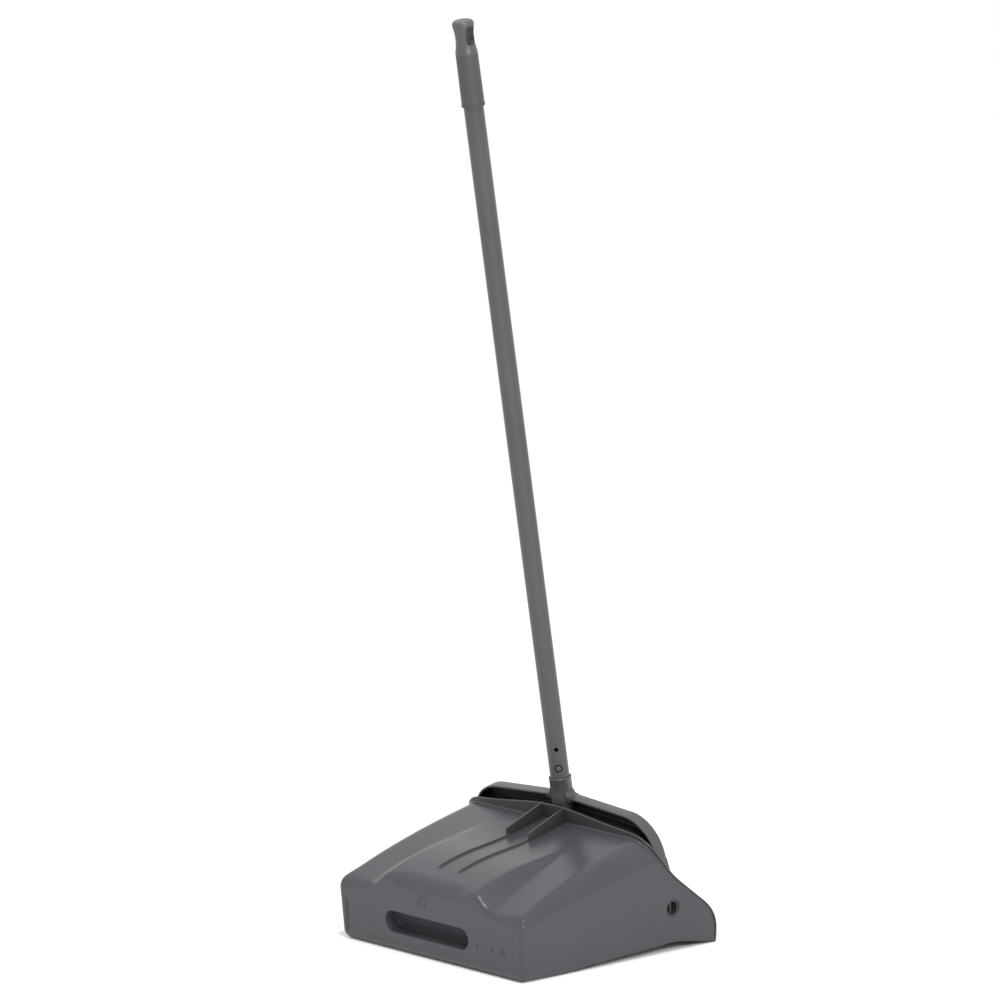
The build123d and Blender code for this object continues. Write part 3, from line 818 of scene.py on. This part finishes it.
# The collar: a socket round the foot of the tube.
SOCKET_TOP = np.array([0.0, -50.5, 179.4])
tube_lean = math.radians(9.7)
UP_TUBE = np.array([0, math.sin(tube_lean), math.cos(tube_lean)])
SOCKET_RADIUS = 12.6
TUBE_RADIUS = 11.0
SOCKET_BORE = TUBE_RADIUS + 0.06
SOCKET_LENGTH = 38.0
SOCKET_FLOOR = 34.2
collar_profile = [
    (SOCKET_BORE, -0.5),
    (TUBE_RADIUS + 0.4, 0.0),
    (SOCKET_RADIUS - 0.2, 0.0),
    (SOCKET_RADIUS + 0.25, -0.4),
    (SOCKET_RADIUS + 0.35, -1.2),
    (SOCKET_RADIUS + 0.25, -2.0),
    (SOCKET_RADIUS, -2.4),
    (SOCKET_RADIUS, -20.0),
    (SOCKET_RADIUS + 0.15, 1.0 - SOCKET_LENGTH),
    (SOCKET_RADIUS - 0.4, -SOCKET_LENGTH),
    (0.5, -SOCKET_LENGTH),
    (0.5, -SOCKET_FLOOR),
    (SOCKET_BORE, -SOCKET_FLOOR),
]
yoke_pieces.append(lathe("yoke_collar", collar_profile, SOCKET_TOP, UP_TUBE))

# Gussets: the crossbar's top runs up into the collar on both sides.
GUSSET_ROUND = 5.5
GUSSET_INSET = 0.6  # its two faces are this far inside the band's
for side, word in ((-1, "right"), (1, "left")):
    top_line = CROSSBAR_MIDDLE + BAND / 2
    drop = CROSSBAR_DROP / arm_middle
    r, x0 = GUSSET_ROUND, SOCKET_RADIUS - 1.0
    x1 = x0 + 1.0 + r
    points = [(x0, top_line - x0 * drop - 6), (x0, top_line - x0 * drop + r * 0.9)]
    for a in np.linspace(math.pi, 1.5 * math.pi, 9):
        x = x1 + r * math.cos(a)
        points.append((x, top_line - x * drop + (r + r * math.sin(a)) * 0.85))
    points += [(x1 + 2, top_line - (x1 + 2) * drop - 0.25), (x1 + 2, top_line - 6 - r * drop)]
    depth = BAND_DEPTH / 2 - GUSSET_INSET
    outline = [in_yoke(side * x, s, -depth) for x, s in points]
    yoke_pieces.append(pulled("yoke_gusset_" + word, outline, FRONT_YOKE * 2 * depth))
for piece in yoke_pieces:
    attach(piece, "handle")
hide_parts("yoke")

# The parting line between the grip sleeve and the cap, drawn as a thin ring that carries painted shade.
SEAM_RISE = 833.0
SEAM_RADIUS = 12.27
SEAM_DEPTH = 0.6
SEAM_HALF = 0.35
seam_profile = [
    (SEAM_RADIUS - SEAM_DEPTH, -SEAM_HALF),
    (SEAM_RADIUS, -SEAM_HALF),
    (SEAM_RADIUS, SEAM_HALF),
    (SEAM_RADIUS - SEAM_DEPTH, SEAM_HALF),
]
seam_line = lathe("cap_seam", seam_profile, SOCKET_TOP + UP_TUBE * SEAM_RISE, UP_TUBE)
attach(seam_line, "handle")

# ---------------------------------------------------------------- materials
def plastic(name, colour, rough, grain, shine=0.5):
    """A moulded or painted surface: slightly uneven colour and polish, and a fine grain."""
    mat = bpy.data.materials.new(name)
    mat.use_nodes = True
    nodes, links = mat.node_tree.nodes, mat.node_tree.links
    bsdf = nodes["Principled BSDF"]
    bsdf.inputs["IOR"].default_value = 1.49
    bsdf.inputs["Specular IOR Level"].default_value = shine
    where = nodes.new("ShaderNodeTexCoord")
    cloud = nodes.new("ShaderNodeTexNoise")
    cloud.inputs["Scale"].default_value = 9.0
    cloud.inputs["Detail"].default_value = 4.0
    links.new(where.outputs["Object"], cloud.inputs["Vector"])
    fine = nodes.new("ShaderNodeTexNoise")
    fine.inputs["Scale"].default_value = 1400.0
    fine.inputs["Detail"].default_value = 2.0
    links.new(where.outputs["Object"], fine.inputs["Vector"])
    ramp = nodes.new("ShaderNodeValToRGB")
    ramp.color_ramp.elements[0].position = 0.3
    ramp.color_ramp.elements[1].position = 0.7
    ramp.color_ramp.elements[0].color = [c * 0.93 for c in colour] + [1]
    ramp.color_ramp.elements[1].color = [c * 1.07 for c in colour] + [1]
    links.new(cloud.outputs["Fac"], ramp.inputs["Fac"])
    links.new(ramp.outputs["Color"], bsdf.inputs["Base Color"])
    spread = nodes.new("ShaderNodeMapRange")
    spread.inputs["To Min"].default_value = rough - 0.05
    spread.inputs["To Max"].default_value = rough + 0.05
    links.new(cloud.outputs["Fac"], spread.inputs["Value"])
    links.new(spread.outputs["Result"], bsdf.inputs["Roughness"])
    bump = nodes.new("ShaderNodeBump")
    bump.inputs["Strength"].default_value = grain
    bump.inputs["Distance"].default_value = 0.0001
    links.new(fine.outputs["Fac"], bump.inputs["Height"])
    links.new(bump.outputs["Normal"], bsdf.inputs["Normal"])
    return mat


pan_plastic = plastic("pan_plastic", (0.054, 0.049, 0.0575), 0.28, 0.25, 0.36)
handle_plastic = plastic("handle_plastic", (0.060, 0.056, 0.062), 0.36, 0.3)
# A darker, rougher copy of the pan's plastic, used for painted shade.
painted_shade_plastic = plastic("pan_plastic_painted_shade", (0.03, 0.028, 0.031), 0.5, 0.35)
# A near-black copy of the handle's plastic: painted shade inside the yoke's channel.
painted_shade_black = plastic("handle_plastic_painted_shade", (0.006, 0.006, 0.007), 0.6, 0.3)
for piece in pan_pieces:
    piece.data.materials.append(pan_plastic)
    piece.data.materials.append(painted_shade_plastic)
BEAD_TOP = 122.0
for piece in pan_pieces[1:4]:
    # Painted shade: upright faces of the rim and fins take a darker, less polished copy of the plastic than
    # the edges above them, and so does the back of the bead along the ears.
    for face in piece.data.polygons:
        tall = face.center.z > (RIM_HEIGHT - 3) * MM or "fin" in piece.name
        low = face.center.z < BEAD_TOP * MM
        bead = not tall and low and face.normal.y > 0.2 and abs(face.normal.x) < 0.8
        if (tall and face.normal.z < 0.35) or bead:
            face.material_index = 1
# The ribs' right-hand sides, facing away from the light, take the same painted shade.
for piece in pan_pieces[4:6]:
    for face in piece.data.polygons:
        if face.normal.x < -0.5:
            face.material_index = 1
for piece in yoke_pieces:
    piece.data.materials.append(handle_plastic)
    piece.data.materials.append(painted_shade_black)
# The seam ring takes the darker plastic: painted shade in the gap between sleeve and cap.
seam_line.data.materials.append(painted_shade_plastic)
tube_paint = plastic("tube_paint", (0.057, 0.054, 0.057), 0.3, 0.12)
grip_plastic = plastic("grip_plastic", (0.048, 0.045, 0.048), 0.5, 0.5)
button_steel = plastic("button_steel", (0.07, 0.07, 0.07), 0.38, 0.1)
node_looks = {
    # The hinge pins, seen inside the ears' holes, take the darker plastic: painted shade.
    "pivot_pin_left": painted_shade_plastic,
    "pivot_pin_right": painted_shade_plastic,
    "tube": tube_paint,
    "grip_sleeve": grip_plastic,
    "hanger_cap": handle_plastic,
    "lock_button": button_steel,
    "button_spring": button_steel,
}
for name, look in node_looks.items():
    frame["nodes"][name].data.materials.clear()
    frame["nodes"][name].data.materials.append(look)

# ---------------------------------------------------------------- floor, light and camera
bpy.ops.mesh.primitive_plane_add(size=80, location=(0, 0, 0))
floor = bpy.context.object
floor.name = "floor"
floor_mat = bpy.data.materials.new("floor_pale")
floor_mat.use_nodes = True
floor_mat.node_tree.nodes["Principled BSDF"].inputs["Base Color"].default_value = (0.95, 0.95, 0.95, 1)
floor_mat.node_tree.nodes["Principled BSDF"].inputs["Roughness"].default_value = 0.9
floor.data.materials.append(floor_mat)

world = bpy.data.worlds.new("soft_white")
bpy.context.scene.world = world
world.use_nodes = True
world.node_tree.nodes["Background"].inputs["Color"].default_value = (1, 1, 1, 1)
world.node_tree.nodes["Background"].inputs["Strength"].default_value = 1.06


def area(name, place, size, power):
    """A soft square lamp, turned towards the pan."""
    data = bpy.data.lights.new(name, "AREA")
    data.shape = "SQUARE"
    data.size = size
    data.energy = power
    lamp = bpy.data.objects.new(name, data)
    bpy.context.scene.collection.objects.link(lamp)
    lamp.location = place
    lamp.rotation_euler = (Vector((0, 0, 0.1)) - Vector(place)).to_track_quat("-Z", "Y").to_euler()


area("key", (-2.2, 1.0, 1.5), 0.6, 26)
area("overhead", (-0.5, 0.5, 2.4), 0.3, 17)

camera_data = bpy.data.cameras.new("camera")
camera = bpy.data.objects.new("camera", camera_data)
bpy.context.scene.collection.objects.link(camera)
bpy.context.scene.camera = camera
camera_data.lens = 259.27
camera_data.sensor_width = 36.0
camera_data.clip_end = 200.0
CAMERA_YAW = 47.107
CAMERA_PITCH = 10.353
yaw, pitch = math.radians(CAMERA_YAW), math.radians(CAMERA_PITCH)
ahead = Vector((math.sin(yaw) * math.cos(pitch), -math.cos(yaw) * math.cos(pitch), -math.sin(pitch)))
camera.location = (-5.7086, 5.3442, 1.9271)
camera.rotation_euler = ahead.to_track_quat("-Z", "Y").to_euler()
bpy.context.scene.view_settings.view_transform = "Standard"
